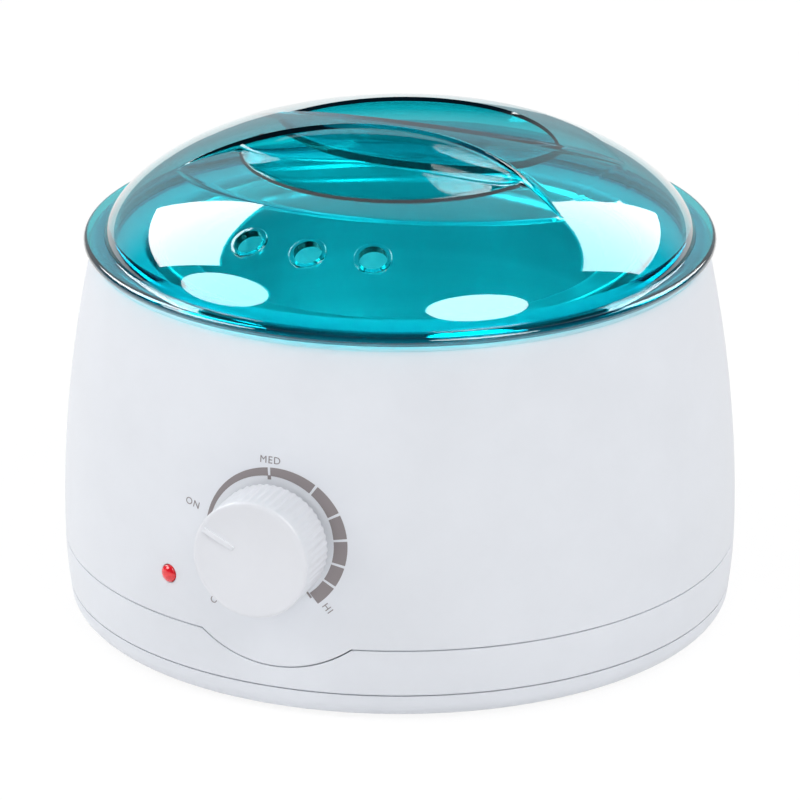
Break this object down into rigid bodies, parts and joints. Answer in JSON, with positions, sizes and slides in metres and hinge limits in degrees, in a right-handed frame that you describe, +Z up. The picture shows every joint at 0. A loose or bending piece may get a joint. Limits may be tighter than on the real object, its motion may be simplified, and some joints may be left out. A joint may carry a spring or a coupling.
{
  "type": "wax warmer",
  "caption": "Round heated pot for melting hair-removal wax: moulded casing with a front control knob and lamp, lift-out aluminium can, clear domed lid with a pinch ridge.",
  "frame": {"origin": "centre of the bounding box on the surface that the warmer stands on; the casing's round axis is 6.5 mm behind it, because the knob sticks out in front", "axes": "+Z up along the casing's round axis, -Y towards the control knob, +X to the right as seen facing the knob"},
  "size_m": [0.1852, 0.2038, 0.1377],
  "materials": {
    "white_plastic": "smooth gloss, moulded",
    "clear_teal_plastic": "clear, polished",
    "spun_aluminium": "spun, satin",
    "zinc_steel": "zinc plated",
    "brass": "turned",
    "grey_rubber": "matt",
    "glass_wool": "woven insulation",
    "cream_ceramic": "matt",
    "black_phenolic": "matt",
    "red_lens": "clear red, polished",
    "lamp_glass": "clear",
    "red_insulation": "extruded",
    "white_insulation": "extruded"
  },
  "bodies": {
    "casing": {"base_ring": "white_plastic", "base_screw_1": "zinc_steel", "base_screw_2": "zinc_steel", "base_screw_3": "zinc_steel", "base_screw_4": "zinc_steel", "bottom_cover": "white_plastic", "bracket_screw_1": "zinc_steel", "bracket_screw_2": "zinc_steel", "clamp_nut": "brass", "clamp_screw": "zinc_steel", "cord_clamp": "cream_ceramic", "cord_clamp_screw_1": "zinc_steel", "cord_clamp_screw_2": "zinc_steel", "cord_gland": "grey_rubber", "cutout_lead": "white_insulation", "cutout_screw": "zinc_steel", "cutout_strip": "zinc_steel", "foot_front": "grey_rubber", "foot_left": "grey_rubber", "foot_rear": "grey_rubber", "foot_right": "grey_rubber", "heat_shield": "zinc_steel", "heater_band": "zinc_steel", "heater_lead": "red_insulation", "heating_pot": "spun_aluminium", "indicator_lens": "red_lens", "insulating_sleeve": "glass_wool", "lamp_holder": "cream_ceramic", "lamp_lead": "white_insulation", "neon_lamp": "lamp_glass", "pot_screw_1": "zinc_steel", "pot_screw_2": "zinc_steel", "pot_screw_3": "zinc_steel", "shield_screw_1": "zinc_steel", "shield_screw_2": "zinc_steel", "shield_screw_3": "zinc_steel", "terminal_block": "cream_ceramic", "terminal_screw_1": "zinc_steel", "terminal_screw_2": "zinc_steel", "thermal_cutout": "black_phenolic", "thermostat_body": "cream_ceramic", "thermostat_bracket": "zinc_steel", "thermostat_lead": "red_insulation", "upper_shell": "white_plastic"},
    "lid": {"lid": "clear_teal_plastic"},
    "can": {"wax_can": "spun_aluminium"},
    "knob": {"control_knob": "white_plastic", "knob_clip": "zinc_steel", "thermostat_shaft": "brass"}
  },
  "joints": [
    {"name": "knob_turn", "type": "hinge", "parent": "casing", "child": "knob", "pos_m": [0, 0.0065, 0.0503], "axis": [0, 1, 0], "range_deg": [-83, 199]},
    {"name": "lid_lift", "type": "slide", "parent": "casing", "child": "lid", "axis": [0, 0, 1], "range_m": [0, 0.12]},
    {"name": "can_lift", "type": "slide", "parent": "casing", "child": "can", "axis": [0, 0, 1], "range_m": [0, 0.072]}
  ],
  "couplings": [
    {"joint": "can_lift", "follows": "lid_lift", "ratio": 0.6}
  ]
}
